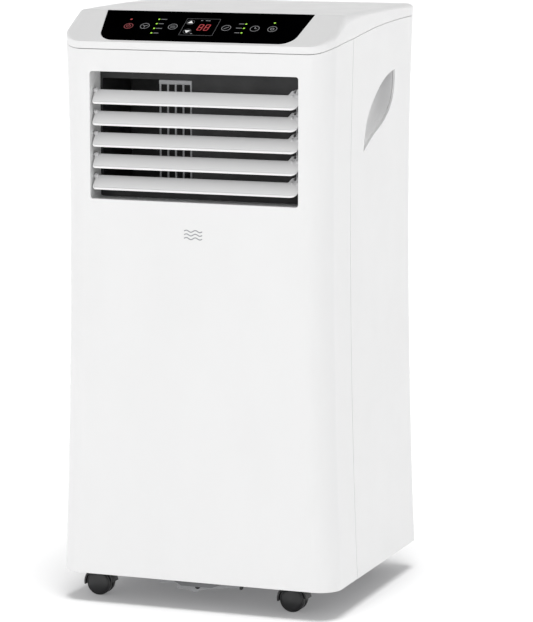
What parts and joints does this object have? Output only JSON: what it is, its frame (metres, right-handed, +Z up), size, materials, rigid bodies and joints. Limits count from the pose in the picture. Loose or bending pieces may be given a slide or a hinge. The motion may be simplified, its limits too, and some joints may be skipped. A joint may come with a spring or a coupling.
{
  "type": "portable air conditioner",
  "caption": "Free-standing portable air conditioner on swivel casters, with front louvres, a sloped touch panel, side hand grips and a rear exhaust collar.",
  "frame": {"origin": "on the floor, under the centre of the body", "axes": "+Z up, front with the louvres facing -Y, +X to the right as seen from the front"},
  "size_m": [0.3426, 0.3066, 0.69],
  "materials": {
    "white_casing": "satin",
    "white_trim": "satin",
    "handle_grey": "fine texture",
    "gloss_black": "high gloss",
    "circuit_board": "satin",
    "baffle_dark": "matte",
    "guard_grey": "matte",
    "filter_mesh": "woven mesh",
    "rubber": "matte",
    "black_plastic": "satin",
    "pan_grey": "matte",
    "white_foam": "matte",
    "black_enamel": "satin",
    "coil_aluminium": "satin",
    "copper": "satin",
    "steel": "satin"
  },
  "bodies": {
    "cabinet": {"front_panel": "white_casing", "rear_shell": "white_casing", "top_cover": "white_casing", "outlet_duct": "white_trim", "exhaust_collar": "white_trim", "handle_cup_left": "handle_grey", "handle_cup_right": "handle_grey", "control_lens": "gloss_black", "control_board": "circuit_board", "main_board": "circuit_board", "evaporator_scroll": "baffle_dark", "outlet_guard": "guard_grey", "compressor_foot_1": "rubber", "compressor_foot_2": "rubber", "compressor_foot_3": "rubber", "cord_gland": "black_plastic", "base_pan": "pan_grey", "electrical_box": "pan_grey", "partition_deck": "white_foam", "condenser_scroll": "white_foam", "compressor": "black_enamel", "accumulator": "black_enamel", "condenser_coil": "coil_aluminium", "evaporator_coil": "coil_aluminium", "discharge_pipe": "copper", "suction_pipe": "copper", "liquid_line": "copper", "evaporator_motor": "steel", "condenser_motor": "steel"},
    "louvre_1": {"louvre_1": "white_casing"},
    "louvre_2": {"louvre_2": "white_casing"},
    "louvre_3": {"louvre_3": "white_casing"},
    "louvre_4": {"louvre_4": "white_casing"},
    "louvre_5": {"louvre_5": "white_casing"},
    "louvre_link": {"louvre_link": "white_trim"},
    "upper_intake": {"upper_grille": "white_casing", "upper_filter": "filter_mesh"},
    "lower_intake": {"lower_grille": "white_casing", "lower_filter": "filter_mesh"},
    "upper_drain_plug": {"upper_drain_plug": "rubber"},
    "lower_drain_plug": {"lower_drain_plug": "rubber"},
    "float_bob": {"float_bob": "white_foam"},
    "evaporator_wheel": {"evaporator_wheel": "black_plastic"},
    "condenser_wheel": {"condenser_wheel": "black_plastic"},
    "caster_front_left": {"caster_front_left_housing": "black_plastic", "caster_front_left_axle": "steel"},
    "caster_front_left_wheel_outer": {"caster_front_left_wheel_outer": "black_plastic"},
    "caster_front_left_wheel_inner": {"caster_front_left_wheel_inner": "black_plastic"},
    "caster_front_right": {"caster_front_right_housing": "black_plastic", "caster_front_right_axle": "steel"},
    "caster_front_right_wheel_outer": {"caster_front_right_wheel_outer": "black_plastic"},
    "caster_front_right_wheel_inner": {"caster_front_right_wheel_inner": "black_plastic"},
    "caster_rear_left": {"caster_rear_left_housing": "black_plastic", "caster_rear_left_axle": "steel"},
    "caster_rear_left_wheel_outer": {"caster_rear_left_wheel_outer": "black_plastic"},
    "caster_rear_left_wheel_inner": {"caster_rear_left_wheel_inner": "black_plastic"},
    "caster_rear_right": {"caster_rear_right_housing": "black_plastic", "caster_rear_right_axle": "steel"},
    "caster_rear_right_wheel_outer": {"caster_rear_right_wheel_outer": "black_plastic"},
    "caster_rear_right_wheel_inner": {"caster_rear_right_wheel_inner": "black_plastic"}
  },
  "joints": [
    {"name": "louvre_1_tilt", "type": "hinge", "parent": "cabinet", "child": "louvre_1", "pos_m": [0, -0.1418, 0.5998], "axis": [-1, 0, 0], "range_deg": [-20, 70]},
    {"name": "louvre_2_tilt", "type": "hinge", "parent": "cabinet", "child": "louvre_2", "pos_m": [0, -0.1418, 0.5752], "axis": [-1, 0, 0], "range_deg": [-20, 70]},
    {"name": "louvre_3_tilt", "type": "hinge", "parent": "cabinet", "child": "louvre_3", "pos_m": [0, -0.1418, 0.5506], "axis": [-1, 0, 0], "range_deg": [-20, 70]},
    {"name": "louvre_4_tilt", "type": "hinge", "parent": "cabinet", "child": "louvre_4", "pos_m": [0, -0.1418, 0.526], "axis": [-1, 0, 0], "range_deg": [-20, 70]},
    {"name": "louvre_5_tilt", "type": "hinge", "parent": "cabinet", "child": "louvre_5", "pos_m": [0, -0.1418, 0.5014], "axis": [-1, 0, 0], "range_deg": [-20, 70]},
    {"name": "louvre_link_pivot", "type": "hinge", "parent": "louvre_3", "child": "louvre_link", "pos_m": [0, -0.13052, 0.5547], "axis": [-1, 0, 0], "range_deg": [-70, 20]},
    {"name": "upper_intake_pull", "type": "slide", "parent": "cabinet", "child": "upper_intake", "axis": [0, 1, 0], "range_m": [0, 0.06]},
    {"name": "lower_intake_pull", "type": "slide", "parent": "cabinet", "child": "lower_intake", "axis": [0, 1, 0], "range_m": [0, 0.06]},
    {"name": "upper_drain_plug_pull", "type": "slide", "parent": "cabinet", "child": "upper_drain_plug", "axis": [0, 1, 0], "range_m": [0, 0.03]},
    {"name": "lower_drain_plug_pull", "type": "slide", "parent": "cabinet", "child": "lower_drain_plug", "axis": [0, 1, 0], "range_m": [0, 0.03]},
    {"name": "float_lift", "type": "slide", "parent": "cabinet", "child": "float_bob", "axis": [0, 0, 1], "range_m": [0, 0.01]},
    {"name": "evaporator_blower_spin", "type": "hinge", "parent": "cabinet", "child": "evaporator_wheel", "pos_m": [0.038, -0.08, 0.53235], "axis": [0, 1, 0], "continuous": true},
    {"name": "condenser_blower_spin", "type": "hinge", "parent": "cabinet", "child": "condenser_wheel", "pos_m": [0.04, 0.05, 0.165], "axis": [0, 1, 0], "continuous": true},
    {"name": "caster_front_left_swivel", "type": "hinge", "parent": "cabinet", "child": "caster_front_left", "pos_m": [-0.1213, -0.108, 0.04], "axis": [0, 0, 1], "continuous": true},
    {"name": "caster_front_left_wheel_outer_spin", "type": "hinge", "parent": "caster_front_left", "child": "caster_front_left_wheel_outer", "pos_m": [-0.1363, -0.108, 0.015], "axis": [0, 1, 0], "continuous": true},
    {"name": "caster_front_left_wheel_inner_spin", "type": "hinge", "parent": "caster_front_left", "child": "caster_front_left_wheel_inner", "pos_m": [-0.1363, -0.108, 0.015], "axis": [0, 1, 0], "continuous": true},
    {"name": "caster_front_right_swivel", "type": "hinge", "parent": "cabinet", "child": "caster_front_right", "pos_m": [0.1213, -0.108, 0.04], "axis": [0, 0, 1], "continuous": true},
    {"name": "caster_front_right_wheel_outer_spin", "type": "hinge", "parent": "caster_front_right", "child": "caster_front_right_wheel_outer", "pos_m": [0.1063, -0.108, 0.015], "axis": [0, 1, 0], "continuous": true},
    {"name": "caster_front_right_wheel_inner_spin", "type": "hinge", "parent": "caster_front_right", "child": "caster_front_right_wheel_inner", "pos_m": [0.1063, -0.108, 0.015], "axis": [0, 1, 0], "continuous": true},
    {"name": "caster_rear_left_swivel", "type": "hinge", "parent": "cabinet", "child": "caster_rear_left", "pos_m": [-0.1213, 0.108, 0.04], "axis": [0, 0, 1], "continuous": true},
    {"name": "caster_rear_left_wheel_outer_spin", "type": "hinge", "parent": "caster_rear_left", "child": "caster_rear_left_wheel_outer", "pos_m": [-0.1363, 0.108, 0.015], "axis": [0, 1, 0], "continuous": true},
    {"name": "caster_rear_left_wheel_inner_spin", "type": "hinge", "parent": "caster_rear_left", "child": "caster_rear_left_wheel_inner", "pos_m": [-0.1363, 0.108, 0.015], "axis": [0, 1, 0], "continuous": true},
    {"name": "caster_rear_right_swivel", "type": "hinge", "parent": "cabinet", "child": "caster_rear_right", "pos_m": [0.1213, 0.108, 0.04], "axis": [0, 0, 1], "continuous": true},
    {"name": "caster_rear_right_wheel_outer_spin", "type": "hinge", "parent": "caster_rear_right", "child": "caster_rear_right_wheel_outer", "pos_m": [0.1063, 0.108, 0.015], "axis": [0, 1, 0], "continuous": true},
    {"name": "caster_rear_right_wheel_inner_spin", "type": "hinge", "parent": "caster_rear_right", "child": "caster_rear_right_wheel_inner", "pos_m": [0.1063, 0.108, 0.015], "axis": [0, 1, 0], "continuous": true}
  ],
  "couplings": [
    {"joint": "louvre_2_tilt", "follows": "louvre_1_tilt", "ratio": 1},
    {"joint": "louvre_3_tilt", "follows": "louvre_1_tilt", "ratio": 1},
    {"joint": "louvre_4_tilt", "follows": "louvre_1_tilt", "ratio": 1},
    {"joint": "louvre_5_tilt", "follows": "louvre_1_tilt", "ratio": 1},
    {"joint": "louvre_link_pivot", "follows": "louvre_1_tilt", "ratio": -1}
  ]
}
